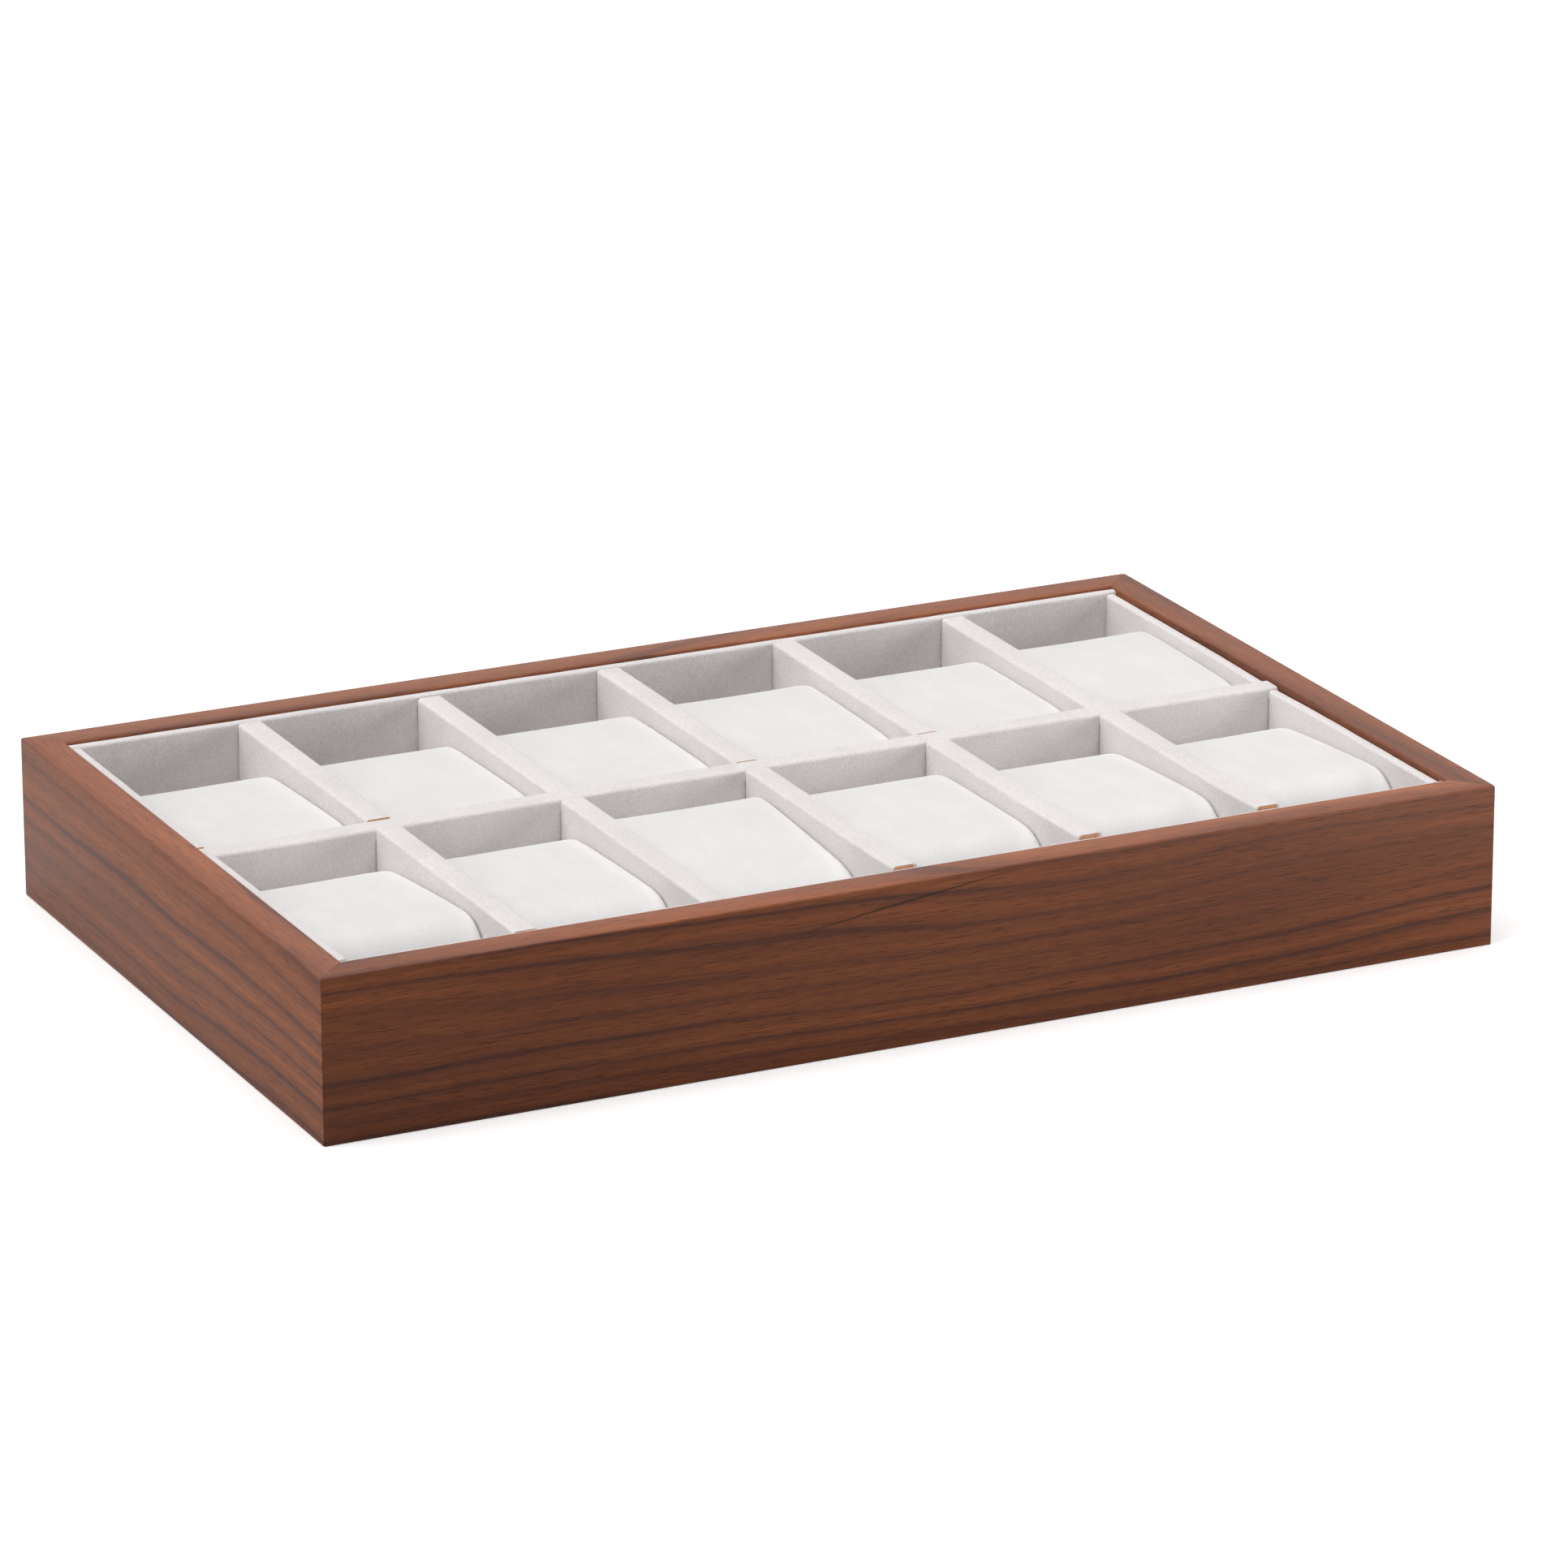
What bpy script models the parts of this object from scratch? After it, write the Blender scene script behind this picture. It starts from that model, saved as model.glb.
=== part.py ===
"""Watch display tray: a mitred wood frame, velvet-covered liners and dividers, twelve watch pillows.

Frame: metres, +Z up. The origin is the middle of the footprint, on the surface the tray stands on.
+X runs along the long side to the right, +Y from the front row to the back row.
"""
import math

import bmesh
import bpy
from mathutils import Matrix, Vector

MM = 0.001

# Driving dimensions: compartments
COLUMNS = 6
END_SLOT_WIDTH = 48.2 * MM      # clear width of the first and last compartment of a row
SLOT_WIDTH = 49.7 * MM          # clear width of the compartments between them
SLOT_DEPTH = 94.2 * MM          # clear depth of a row, front to back

# Driving dimensions: boards
WALL = 10.2 * MM                # wood side, thickness
TRAY_HEIGHT = 48.0 * MM
LINER = 3.1 * MM                # velvet-covered board against a wall, thickness
LINER_DROPS = {                 # from the rim down to the top of each liner
    "front": 1.1 * MM,
    "back": 0.6 * MM,
    "left": 1.0 * MM,
    "right": 1.4 * MM,
}
DIVIDER = 7.6 * MM              # velvet-covered divider, thickness
DIVIDER_DROP = 0.9 * MM         # from the rim down to the top of a divider
PANEL = 4.0 * MM                # bottom board, thickness
PANEL_LIFT = 1.5 * MM           # from the standing surface up to the bottom board
RABBET = 5.0 * MM               # how far the bottom board reaches into the sides
LINING = 1.5 * MM               # velvet-covered floor card, thickness

# Driving dimensions: edges
RIM_RADIUS = 0.7 * MM           # eased edges along the top of the wood
CORNER_RADIUS = 0.5 * MM        # eased outer upright corners
FOOT_RADIUS = 0.4 * MM          # eased lower outer edge
LINER_RADIUS = 1.3 * MM         # rounded top of a liner
DIVIDER_RADIUS = 1.8 * MM       # rounded top of a divider

# Driving dimensions: pillows
PILLOW_LENGTH = 78.0 * MM       # front to back
PILLOW_HEIGHT = 33.4 * MM       # crown of a pillow above what it lies on
PILLOW_ROLL = 16.0 * MM         # how much of the length each rolled-over end takes
PILLOW_ROLL_POWER = 2.2         # 2 makes the roll elliptical, more makes it squarer
PILLOW_CAP_RADIUS = 3.2 * MM    # eased edge round the two sewn caps
PILLOW_SIDE_GAP = 0.35 * MM     # between a pillow and the board beside each cap
PILLOW_MIDDLE_GAP = 0.9 * MM    # between a pillow and the centre divider
ROLL_STEPS = 5
CAP_STEPS = 2

# Fits
GAP = 0.3 * MM                  # between boards that touch
MITRE_GAP = 0.12 * MM           # between the two faces of a mitre

# Places worked out from the driving dimensions
SLOT_WIDTHS = [END_SLOT_WIDTH] + [SLOT_WIDTH] * (COLUMNS - 2) + [END_SLOT_WIDTH]
LINED_LENGTH = sum(SLOT_WIDTHS) + (COLUMNS - 1) * DIVIDER
LINED_DEPTH = 2 * SLOT_DEPTH + DIVIDER
WELL_LENGTH = LINED_LENGTH + 2 * (LINER + GAP)
WELL_DEPTH = LINED_DEPTH + 2 * (LINER + GAP)
TRAY_LENGTH = WELL_LENGTH + 2 * WALL
TRAY_DEPTH = WELL_DEPTH + 2 * WALL
PANEL_TOP = PANEL_LIFT + PANEL
FLOOR = PANEL_TOP + GAP + LINING + GAP      # what liners, dividers and pillows stand on
LINER_TOPS = {side: TRAY_HEIGHT - drop for side, drop in LINER_DROPS.items()}
DIVIDER_TOP = TRAY_HEIGHT - DIVIDER_DROP
HALVING = (FLOOR + DIVIDER_TOP) / 2         # where the crossing boards are halved

# Surface finishes: colour, roughness, sheen
WOOD = ("walnut_wood", (0.175, 0.072, 0.040), 0.45, 0.0)
FIBREBOARD = ("bottom_fibreboard", (0.215, 0.120, 0.070), 0.75, 0.0)
BOARD_VELVET = ("board_velvet", (0.80, 0.76, 0.74), 0.95, 0.4)
PILLOW_VELVET = ("pillow_velvet", (0.82, 0.81, 0.80), 0.95, 0.4)


def clear_scene():
    for old in list(bpy.data.objects):
        bpy.data.objects.remove(old, do_unlink=True)


def new_collection(name):
    collection = bpy.data.collections.new(name)
    bpy.context.scene.collection.children.link(collection)
    return collection


def make_finish(name, colour, roughness, sheen):
    finish = bpy.data.materials.new(name)
    finish.use_nodes = True
    shader = finish.node_tree.nodes["Principled BSDF"]
    shader.inputs["Base Color"].default_value = (*colour, 1.0)
    shader.inputs["Roughness"].default_value = roughness
    shader.inputs["Metallic"].default_value = 0.0
    shader.inputs["Sheen Weight"].default_value = sheen
    finish.diffuse_color = (*colour, 1.0)
    return finish


def place(name, mesh, collection, location=(0, 0, 0)):
    thing = bpy.data.objects.new(name, mesh)
    thing.location = location
    collection.objects.link(thing)
    return thing


def block_mesh(name, size):
    """A block of the given size, centred on its own origin."""
    bm = bmesh.new()
    bmesh.ops.create_cube(bm, size=1.0, matrix=Matrix.Diagonal((*size, 1.0)))
    mesh = bpy.data.meshes.new(name)
    bm.to_mesh(mesh)
    bm.free()
    return mesh


def cutter(name, low, high, cutters):
    """A block between two corners, used only to cut others."""
    low = Vector(low)
    high = Vector(high)
    block = place(name, block_mesh(name, high - low), cutters, (low + high) / 2)
    block.hide_render = True
    block.display_type = "WIRE"
    return block


def cut(thing, tool):
    boolean = thing.modifiers.new("cut_" + tool.name, "BOOLEAN")
    boolean.operation = "DIFFERENCE"
    boolean.solver = "EXACT"
    boolean.object = tool


def round_edges(thing, radius, segments, chosen):
    """Bevel the chosen edges. chosen(middle, direction) gives each edge's share of the radius."""
    mesh = thing.data
    weights = mesh.attributes.new("bevel_weight_edge", "FLOAT", "EDGE")
    for edge in mesh.edges:
        first, second = (mesh.vertices[i].co for i in edge.vertices)
        weights.data[edge.index].value = chosen((first + second) / 2, (second - first).normalized())
    bevel = thing.modifiers.new("rounded_edges", "BEVEL")
    bevel.limit_method = "WEIGHT"
    bevel.width = radius
    bevel.segments = segments


def baked(thing):
    """A thing's mesh with its modifiers applied."""
    bpy.context.view_layer.update()
    graph = bpy.context.evaluated_depsgraph_get()
    return bpy.data.meshes.new_from_object(thing.evaluated_get(graph))


# The wood frame

def frame_ring(cutters):
    """The whole frame as one ring: well and rabbet cut out, then every long edge eased."""
    size = (TRAY_LENGTH, TRAY_DEPTH, TRAY_HEIGHT)
    ring = place("frame_ring", block_mesh("frame_ring", size), cutters, (0, 0, TRAY_HEIGHT / 2))
    ring.hide_render = True
    ring.display_type = "WIRE"
    over = TRAY_HEIGHT
    well = (WELL_LENGTH / 2, WELL_DEPTH / 2)
    rabbet = (well[0] + RABBET, well[1] + RABBET)
    cut(ring, cutter("well", (-well[0], -well[1], -over), (well[0], well[1], 2 * over), cutters))
    cut(ring, cutter("rabbet", (-rabbet[0], -rabbet[1], -over),
                     (rabbet[0], rabbet[1], PANEL_TOP + GAP), cutters))
    ring.data = baked(ring)
    ring.modifiers.clear()

    def eased(middle, direction):
        along_side = abs(direction.z) < 0.5
        outside = abs(middle.x) > well[0] + RABBET or abs(middle.y) > well[1] + RABBET
        if along_side and middle.z > TRAY_HEIGHT * 0.49:
            return 1.0
        if not along_side and outside:
            return CORNER_RADIUS / RIM_RADIUS
        if along_side and outside and middle.z < -TRAY_HEIGHT * 0.49:
            return FOOT_RADIUS / RIM_RADIUS
        return 0.0

    round_edges(ring, RIM_RADIUS, 4, eased)
    return baked(ring)


def keep_behind(bm, point, normal):
    """Cut the mesh with a plane, drop what lies in front of it and close the cut."""
    everything = bm.verts[:] + bm.edges[:] + bm.faces[:]
    cut_plane = bmesh.ops.bisect_plane(
        bm, geom=everything, dist=1e-7, plane_co=point, plane_no=normal, clear_outer=True)
    rim = [item for item in cut_plane["geom_cut"] if isinstance(item, bmesh.types.BMEdge)]
    bmesh.ops.edgeloop_fill(bm, edges=rim)


def make_side(name, ring, facing, collection):
    """One board of the frame, cut from the ring by the two mitres at its ends."""
    bm = bmesh.new()
    bm.from_mesh(ring)
    facing = Vector(facing)
    for across in (Vector((-facing.y, facing.x, 0)), Vector((facing.y, -facing.x, 0))):
        diagonal = facing + across
        corner = Vector((diagonal.x * TRAY_LENGTH / 2, diagonal.y * TRAY_DEPTH / 2, 0))
        outward = (across - facing).normalized()
        keep_behind(bm, corner - outward * MITRE_GAP / 2, outward)
    bmesh.ops.recalc_face_normals(bm, faces=bm.faces)
    middle = Vector((facing.x * (TRAY_LENGTH - WALL) / 2, facing.y * (TRAY_DEPTH - WALL) / 2, 0))
    bmesh.ops.translate(bm, verts=bm.verts, vec=-middle)
    mesh = bpy.data.meshes.new(name)
    bm.to_mesh(mesh)
    bm.free()
    return place(name, mesh, collection, middle + Vector((0, 0, TRAY_HEIGHT / 2)))


def make_frame(collection, cutters):
    ring = frame_ring(cutters)
    facings = {"side_front": (0, -1, 0), "side_back": (0, 1, 0),
               "side_left": (-1, 0, 0), "side_right": (1, 0, 0)}
    return [make_side(name, ring, facing, collection) for name, facing in facings.items()]


def make_panel(collection):
    reach = RABBET - GAP
    size = (WELL_LENGTH + 2 * reach, WELL_DEPTH + 2 * reach, PANEL)
    return place("bottom_panel", block_mesh("bottom_panel", size), collection,
                 (0, 0, PANEL_LIFT + PANEL / 2))


def make_lining(collection):
    size = (WELL_LENGTH - 2 * GAP, WELL_DEPTH - 2 * GAP, LINING)
    return place("floor_lining", block_mesh("floor_lining", size), collection,
                 (0, 0, PANEL_TOP + GAP + LINING / 2))


# The velvet-covered boards

def upright_board(name, length, thickness, top, radius, along_x, middle, collection):
    """A board standing on the floor with a rounded top."""
    height = top - FLOOR
    size = (length, thickness, height) if along_x else (thickness, length, height)
    board = place(name, block_mesh(name, size), collection, (*middle, FLOOR + height / 2))
    long_way = Vector((1, 0, 0)) if along_x else Vector((0, 1, 0))

    def top_edges(point, direction):
        return 1.0 if abs(direction.dot(long_way)) > 0.9 and point.z > 0 else 0.0

    round_edges(board, radius, 4, top_edges)
    return board


def make_liners(collection, cutters):
    from_middle_x = LINED_LENGTH / 2 + LINER / 2
    from_middle_y = LINED_DEPTH / 2 + LINER / 2
    liners = []
    for side, way in (("front", -1), ("back", 1)):
        liners.append(upright_board("liner_" + side, WELL_LENGTH - 2 * GAP, LINER, LINER_TOPS[side],
                                    LINER_RADIUS, True, (0, way * from_middle_y), collection))
    for side, way in (("left", -1), ("right", 1)):
        liner = upright_board("liner_" + side, LINED_DEPTH - 2 * GAP, LINER, LINER_TOPS[side],
                              LINER_RADIUS, False, (way * from_middle_x, 0), collection)
        half_notch = DIVIDER / 2 + GAP
        reach = LINER
        low = (way * from_middle_x - reach, -half_notch, HALVING - GAP / 2)
        high = (way * from_middle_x + reach, half_notch, TRAY_HEIGHT + reach)
        cut(liner, cutter("notch_" + side, low, high, cutters))
        liners.append(liner)
    return liners


def divider_places():
    """The middle of each cross divider along X, from left to right."""
    places = []
    edge = -LINED_LENGTH / 2
    for width in SLOT_WIDTHS[:-1]:
        edge += width
        places.append(edge + DIVIDER / 2)
        edge += DIVIDER
    return places


def make_centre_divider(collection, cutters):
    """The long divider: tongues at its ends lie in the liners' notches, and it is slotted from
    below where it rides over each cross divider."""
    length = WELL_LENGTH - 2 * GAP
    divider = upright_board("centre_divider", length, DIVIDER, DIVIDER_TOP, DIVIDER_RADIUS,
                            True, (0, 0), collection)
    below = FLOOR - DIVIDER
    for name, way in (("tongue_left", -1), ("tongue_right", 1)):
        near = way * (LINED_LENGTH / 2 - GAP)
        far = way * TRAY_LENGTH / 2
        low = (min(near, far), -DIVIDER, below)
        high = (max(near, far), DIVIDER, HALVING + GAP / 2)
        cut(divider, cutter(name, low, high, cutters))
    half_slot = DIVIDER / 2 + GAP
    for number, x in enumerate(divider_places(), 1):
        low = (x - half_slot, -DIVIDER, below)
        high = (x + half_slot, DIVIDER, HALVING + GAP / 2)
        cut(divider, cutter(f"centre_slot_{number}", low, high, cutters))
    return divider


def make_cross_dividers(collection, cutters):
    """Dividers from the front liner to the back liner, slotted from above for the long one."""
    length = LINED_DEPTH - 2 * GAP
    half_slot = DIVIDER / 2 + GAP
    dividers = []
    for number, x in enumerate(divider_places(), 1):
        divider = upright_board(f"cross_divider_{number}", length, DIVIDER, DIVIDER_TOP,
                                DIVIDER_RADIUS, False, (x, 0), collection)
        low = (x - DIVIDER, -half_slot, HALVING - GAP / 2)
        high = (x + DIVIDER, half_slot, TRAY_HEIGHT + DIVIDER)
        cut(divider, cutter(f"cross_slot_{number}", low, high, cutters))
        dividers.append(divider)
    return dividers


# The watch pillows

def pillow_outline():
    """A pillow seen from its cap, as points (y, z) from its middle: flat faces, rolled ends."""
    flat = PILLOW_LENGTH / 2 - PILLOW_ROLL
    outline = []
    for quarter in range(4):
        for step in range(ROLL_STEPS + 1):
            turn = math.radians(90 * (quarter + step / ROLL_STEPS))
            along = math.copysign(abs(math.cos(turn)) ** (2 / PILLOW_ROLL_POWER), math.cos(turn))
            up = math.copysign(abs(math.sin(turn)) ** (2 / PILLOW_ROLL_POWER), math.sin(turn))
            end = flat if quarter in (0, 3) else -flat
            point = (end + along * PILLOW_ROLL, up * PILLOW_HEIGHT / 2)
            if not outline or math.dist(point, outline[-1]) > 1e-6:
                outline.append(point)
    return outline[:-1]


def pillow_mesh(name, width):
    """The outline drawn out along X, with eased edges round the two caps."""
    outline = pillow_outline()
    half_width = width / 2 - PILLOW_SIDE_GAP
    rings = []
    for step in range(CAP_STEPS + 1):
        turn = math.radians(90 * step / CAP_STEPS)
        inset = PILLOW_CAP_RADIUS * (1 - math.sin(turn))
        rings.append((half_width - PILLOW_CAP_RADIUS * (1 - math.cos(turn)), inset))
    rings = [(-x, inset) for x, inset in rings] + rings[::-1]
    bm = bmesh.new()
    loops = []
    for x, inset in rings:
        narrower = 1 - inset / (PILLOW_LENGTH / 2)
        lower = 1 - inset / (PILLOW_HEIGHT / 2)
        loops.append([bm.verts.new((x, y * narrower, z * lower + PILLOW_HEIGHT / 2)) for y, z in outline])
    for first, second in zip(loops, loops[1:]):
        for i in range(len(outline)):
            bm.faces.new((first[i - 1], second[i - 1], second[i], first[i]))
    bm.faces.new(loops[0])
    bm.faces.new(loops[-1])
    bmesh.ops.recalc_face_normals(bm, faces=bm.faces)
    mesh = bpy.data.meshes.new(name)
    bm.to_mesh(mesh)
    bm.free()
    return mesh


def make_pillow(name, width, location, collection):
    return place(name, pillow_mesh(name, width), collection, location)


def make_pillows(collection):
    """Both rows of pillows are pushed up to the centre divider."""
    row_middle = DIVIDER / 2 + PILLOW_MIDDLE_GAP + PILLOW_LENGTH / 2
    pillows = []
    for row, y in (("front", -row_middle), ("back", row_middle)):
        edge = -LINED_LENGTH / 2
        for number, width in enumerate(SLOT_WIDTHS, 1):
            pillows.append(make_pillow(f"pillow_{row}_{number}", width,
                                       (edge + width / 2, y, FLOOR), collection))
            edge += width + DIVIDER
    return pillows


def main():
    clear_scene()
    tray = new_collection("watch_display_tray")
    cutters = new_collection("cutters")
    finished = [
        (make_frame(tray, cutters), WOOD),
        ([make_panel(tray)], FIBREBOARD),
        ([make_lining(tray)], BOARD_VELVET),
        (make_liners(tray, cutters), BOARD_VELVET),
        ([make_centre_divider(tray, cutters)], BOARD_VELVET),
        (make_cross_dividers(tray, cutters), BOARD_VELVET),
        (make_pillows(tray), PILLOW_VELVET),
    ]
    finishes = {}
    for things, recipe in finished:
        if recipe[0] not in finishes:
            finishes[recipe[0]] = make_finish(*recipe)
        for thing in things:
            thing.data.materials.clear()
            thing.data.materials.append(finishes[recipe[0]])
    print("tray", round(TRAY_LENGTH, 4), round(TRAY_DEPTH, 4), round(TRAY_HEIGHT, 4))


main()
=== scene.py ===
# %% [markdown]
# # A watch display tray in walnut and velvet
#
# The tray holds twelve watches in two rows. Four walnut boards meet in mitres round it, thin
# boards covered in short velvet line its walls and divide it, and a soft velvet pillow lies in
# each compartment. The solids of the tray already exist at their real sizes. This script loads
# them as a fixed frame and makes, round them, what the eye sees: wood grain, velvet nap, soft
# pillows, light and camera. Main sizes are read from the frame. Only the small unevenness of this
# one tray is written here: boards a fraction of a millimetre off, and pillows that lie differently.

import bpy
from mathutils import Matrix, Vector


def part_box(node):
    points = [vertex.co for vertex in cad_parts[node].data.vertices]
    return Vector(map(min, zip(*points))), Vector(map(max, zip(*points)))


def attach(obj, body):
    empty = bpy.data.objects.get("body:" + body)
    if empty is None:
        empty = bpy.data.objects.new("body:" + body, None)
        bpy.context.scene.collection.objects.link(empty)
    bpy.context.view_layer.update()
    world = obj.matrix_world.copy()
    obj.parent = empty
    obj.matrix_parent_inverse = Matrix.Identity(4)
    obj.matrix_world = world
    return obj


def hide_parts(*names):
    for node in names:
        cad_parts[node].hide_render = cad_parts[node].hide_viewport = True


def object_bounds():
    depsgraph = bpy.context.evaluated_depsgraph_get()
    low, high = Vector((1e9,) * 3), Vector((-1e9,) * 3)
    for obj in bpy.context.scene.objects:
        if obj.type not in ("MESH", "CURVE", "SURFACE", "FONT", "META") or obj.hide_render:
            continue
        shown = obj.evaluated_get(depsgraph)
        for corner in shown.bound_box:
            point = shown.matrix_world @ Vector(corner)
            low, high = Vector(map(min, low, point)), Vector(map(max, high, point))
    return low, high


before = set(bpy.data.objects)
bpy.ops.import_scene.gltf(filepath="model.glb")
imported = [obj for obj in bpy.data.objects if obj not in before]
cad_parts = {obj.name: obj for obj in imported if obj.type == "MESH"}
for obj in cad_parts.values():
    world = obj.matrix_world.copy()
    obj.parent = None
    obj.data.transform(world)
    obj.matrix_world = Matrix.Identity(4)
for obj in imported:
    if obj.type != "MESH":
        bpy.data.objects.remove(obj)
cad_low, cad_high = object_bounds()
print("nodes in the frame:", len(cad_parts))
print("size in mm:", [round((high - low) * 1000, 1) for low, high in zip(cad_low, cad_high)])

# %% [markdown]
# ## The camera
#
# The photograph was taken with a long lens from the left and a little above, which keeps the
# tray's long edges nearly parallel. A camera is three things: where it stands, where it looks,
# and how much it sees. Its turn and tilt are given as angles, because that is how a photographer
# thinks of them, and the lens is given in millimetres for a sensor 36 mm wide.

# %% Camera
import math

import bpy
from mathutils import Euler, Matrix, Vector

scene = bpy.context.scene
CAMERA_PLACE = Vector((-0.96201, -2.01221, 0.80593))
CAMERA_TURN = math.radians(-25.790)
CAMERA_TILT = math.radians(18.928)
CAMERA_ROLL = math.radians(-0.082)
LENS_MM = 189.31

camera_data = bpy.data.cameras.new("photo_camera")
camera_data.sensor_width = 36.0
camera_data.lens = LENS_MM
camera_data.clip_start = 0.05
camera_data.clip_end = 50.0
camera = bpy.data.objects.new("photo_camera", camera_data)
aim = Euler((math.pi / 2 - CAMERA_TILT, 0, CAMERA_TURN)).to_matrix()
aim = aim @ Matrix.Rotation(CAMERA_ROLL, 3, "Z")
camera.matrix_world = Matrix.Translation(CAMERA_PLACE) @ aim.to_4x4()
scene.collection.objects.link(camera)
scene.camera = camera
scene.view_settings.view_transform = "Standard"
print("camera stands", round(CAMERA_PLACE.length, 2), "m away")

# %% [markdown]
# ## A short way to write materials
#
# A procedural material is a graph of nodes. Written out in full, each node takes several lines,
# so a few small helpers keep the recipes below short: one adds a node and plugs in its inputs,
# one does arithmetic, and the others stretch coordinates, make noise and mix colours. An input may
# be a plain number, or the output of another node.

# %% Node helpers
def add_node(tree, kind, inputs=None, **settings):
    node = tree.nodes.new(kind)
    for name, value in settings.items():
        setattr(node, name, value)
    for socket, value in (inputs or {}).items():
        if isinstance(value, bpy.types.NodeSocket):
            tree.links.new(value, node.inputs[socket])
        else:
            node.inputs[socket].default_value = value
    return node


def calculate(tree, operation, first, second=0.0, third=None, clamp=False):
    inputs = {0: first, 1: second}
    if third is not None:
        inputs[2] = third
    return add_node(tree, "ShaderNodeMath", inputs, operation=operation, use_clamp=clamp).outputs[0]


def stretched(tree, coordinates, scale, shift=(0, 0, 0)):
    inputs = {"Vector": coordinates, "Scale": scale, "Location": shift}
    return add_node(tree, "ShaderNodeMapping", inputs).outputs[0]


def noise(tree, coordinates, scale=1.0, detail=2.0, roughness=0.5):
    inputs = {"Vector": coordinates, "Scale": scale, "Detail": detail, "Roughness": roughness}
    return add_node(tree, "ShaderNodeTexNoise", inputs).outputs["Fac"]


def blend_colours(tree, factor, first, second, blend="MIX"):
    node = add_node(tree, "ShaderNodeMix", data_type="RGBA", blend_type=blend, clamp_factor=True)
    for socket, value in ((0, factor), (6, first), (7, second)):
        if isinstance(value, bpy.types.NodeSocket):
            tree.links.new(value, node.inputs[socket])
        elif socket == 0:
            node.inputs[socket].default_value = value
        else:
            node.inputs[socket].default_value = (*value, 1.0)
    return node.outputs[2]


def times(tree, tone, other):
    return blend_colours(tree, 1.0, tone, other, "MULTIPLY")


def grey(value):
    return (value, value, value)


def colour_steps(tree, factor, steps, smooth=True):
    """A colour ramp: steps are pairs of a place from 0 to 1 and a colour."""
    ramp = add_node(tree, "ShaderNodeValToRGB", {"Fac": factor})
    ramp.color_ramp.interpolation = "EASE" if smooth else "LINEAR"
    elements = ramp.color_ramp.elements
    while len(elements) < len(steps):
        elements.new(0.5)
    for element, (place, colour) in zip(elements, steps):
        element.position = place
        element.color = (*colour, 1.0)
    return ramp.outputs["Color"]


def new_finish(name):
    """A new material, its node tree, its main shader, and each point's place on the object."""
    finish = bpy.data.materials.new(name)
    finish.use_nodes = True
    tree = finish.node_tree
    shader = tree.nodes["Principled BSDF"]
    place = tree.nodes.new("ShaderNodeTexCoord").outputs["Object"]
    return finish, tree, shader, place


print("node helpers ready")

# %% [markdown]
# ## Studio light and a pale floor
#
# The photograph has a pure white ground and soft light: the tops of the boards are brightest, the
# faces that look left come next and the front face is darkest, but it brightens to the right. A
# large soft box overhead and one at the left are far away, so two broad suns stand for them. The
# change along the front needs a lamp that is near, so a small soft box stands low at the right.
# The white ground needs a trick, because more light would also bleach the velvet: rays that come
# straight from the camera, or from a mirror-like or see-through surface, see a white floor and
# sky, and the rays that light the tray see dimmer ones. The floor also glows a little for those
# rays, so that it is white beside the tray and still shows its shadow.

# %% Light and floor
SKY_STRENGTH = 0.02
FLOOR_BOUNCE = 0.24
FLOOR_SEEN = 0.97
FLOOR_GLOW = 0.26
FLOOR_HALF_WIDTH = 9.0


def seen_directly(tree):
    """1 for rays from the camera, a gloss or a see-through surface, 0 for all that light things."""
    rays = tree.nodes.new("ShaderNodeLightPath").outputs
    camera_or_gloss = calculate(tree, "MAXIMUM", rays["Is Camera Ray"], rays["Is Glossy Ray"])
    return calculate(tree, "MAXIMUM", camera_or_gloss, rays["Is Transmission Ray"])


world = bpy.data.worlds.new("studio_sky")
world.use_nodes = True
sky = world.node_tree
sky.nodes.clear()
dim = add_node(sky, "ShaderNodeBackground", {"Color": (1, 1, 1, 1), "Strength": SKY_STRENGTH})
white = add_node(sky, "ShaderNodeBackground", {"Color": (1, 1, 1, 1), "Strength": 1.0})
choice = {0: seen_directly(sky), 1: dim.outputs[0], 2: white.outputs[0]}
both = add_node(sky, "ShaderNodeMixShader", choice)
add_node(sky, "ShaderNodeOutputWorld", {"Surface": both.outputs[0]})
scene.world = world


def add_sun(name, towards, strength, spread):
    data = bpy.data.lights.new(name, "SUN")
    data.energy = strength
    data.angle = math.radians(spread)
    lamp = bpy.data.objects.new(name, data)
    lamp.rotation_euler = Vector(towards).to_track_quat("Z", "Y").to_euler()
    scene.collection.objects.link(lamp)
    return lamp


def add_soft_box(name, place, target, watts, width):
    data = bpy.data.lights.new(name, "AREA")
    data.energy = watts
    data.size = width
    lamp = bpy.data.objects.new(name, data)
    lamp.location = place
    lamp.rotation_euler = (Vector(place) - Vector(target)).to_track_quat("Z", "Y").to_euler()
    scene.collection.objects.link(lamp)
    return lamp


add_sun("overhead_light", (0, 0, 1), 2.20, 60)
add_sun("left_light", (-1.0, 0.1, 0.75), 1.38, 56)
add_soft_box("right_light", (0.60, -0.60, 0.20), (0, -0.02, 0.03), 1.65, 0.24)

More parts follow.
